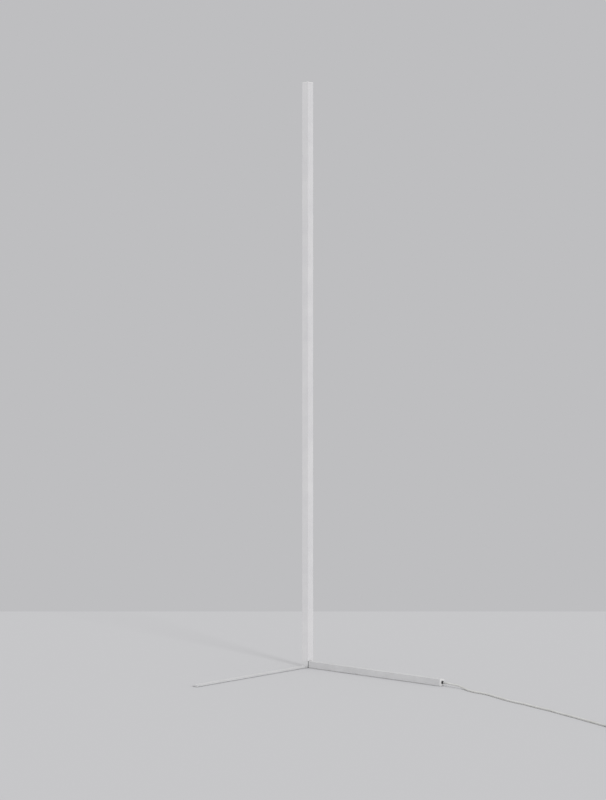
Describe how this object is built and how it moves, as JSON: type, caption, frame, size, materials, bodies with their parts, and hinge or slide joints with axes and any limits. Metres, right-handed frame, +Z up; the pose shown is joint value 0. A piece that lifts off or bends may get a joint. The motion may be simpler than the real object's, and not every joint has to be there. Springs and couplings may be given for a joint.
{
  "type": "floor lamp",
  "caption": "Slim floor lamp: a tall square stem lit from its two rear faces, standing on a box-tube leg and a flat leg at a right angle, with a corded foot switch.",
  "frame": {"origin": "on the floor under the middle of the stem, at the underside of the corner pad", "axes": "+Z up the stem; +X along the box-tube leg, where the cord leaves; -Y along the flat leg"},
  "size_m": [1.5577, 0.529, 1.9],
  "materials": {
    "white_steel": "fine matt white powder coat on steel",
    "white_aluminium": "matt white powder coat on extruded aluminium",
    "white_casting": "matt white powder coat on the cast corner block",
    "opal": "satin opal polycarbonate",
    "white_plastic": "fine matt white moulded plastic",
    "clear_pad": "dark grey rubber foot pads",
    "black_rubber": "matt black rubber collar",
    "white_rubber": "soft white moulded strain relief",
    "cord_white": "smooth white round flex",
    "zinc_steel": "bright zinc plate",
    "raw_steel": "plain drawn steel bar",
    "board_white": "white solder mask on board",
    "chip_yellow": "yellow phosphor light chips",
    "board_green": "green solder mask on board",
    "ferrite": "dark ferrite core and tape",
    "capacitor": "sleeved aluminium cans",
    "driver_case": "light grey flame-proof plastic",
    "terminal_plastic": "natural nylon terminals",
    "core_brown": "insulated copper cores",
    "lead_red": "thin insulated leads",
    "spring_steel": "bright spring wire",
    "nickel": "nickel-plated brass pins"
  },
  "bodies": {
    "root": {"stem_profile": "white_aluminium", "stem_diffuser": "opal", "top_cap": "white_plastic", "top_cap_screw": "zinc_steel", "led_boards": "board_white", "led_chips": "chip_yellow", "led_connector": "white_plastic", "board_screws": "zinc_steel", "stem_bolt": "zinc_steel", "stem_screws": "zinc_steel", "corner_block": "white_casting", "corner_pad": "clear_pad", "end_pads": "clear_pad", "flat_leg": "white_steel", "flat_leg_screws": "zinc_steel", "leg_gasket": "black_rubber", "leg_tube": "white_steel", "leg_screws": "zinc_steel", "ballast_bar": "raw_steel", "leg_end_cap": "white_plastic", "cable_grommet": "black_rubber", "cord_boot": "white_rubber", "cord_clamp": "white_plastic", "clamp_screws": "zinc_steel", "driver_tray": "driver_case", "driver_cover": "driver_case", "driver_board": "board_green", "driver_transformer": "ferrite", "driver_capacitors": "capacitor", "driver_terminals": "terminal_plastic", "led_leads": "lead_red", "mains_cores": "core_brown", "cord_inner": "cord_white", "cord_run": "cord_white", "switch_base": "white_plastic", "switch_cover": "white_plastic", "switch_spring": "spring_steel", "switch_block": "terminal_plastic", "switch_leads": "core_brown", "switch_screws": "zinc_steel", "switch_boots": "white_rubber", "cord_link": "cord_white", "cord_coil": "cord_white", "coil_tie": "black_rubber", "cord_tail": "cord_white", "plug_body": "white_plastic", "plug_pins": "nickel"},
    "foot_button": {"switch_button": "white_plastic"}
  },
  "joints": [
    {"name": "button_press", "type": "slide", "parent": "root", "child": "foot_button", "axis": [0, 0, -1], "range_m": [0, 0.003], "stiffness_N_per_m": 2000, "springref_m": -0.001, "deforming": ["switch_spring"]}
  ]
}
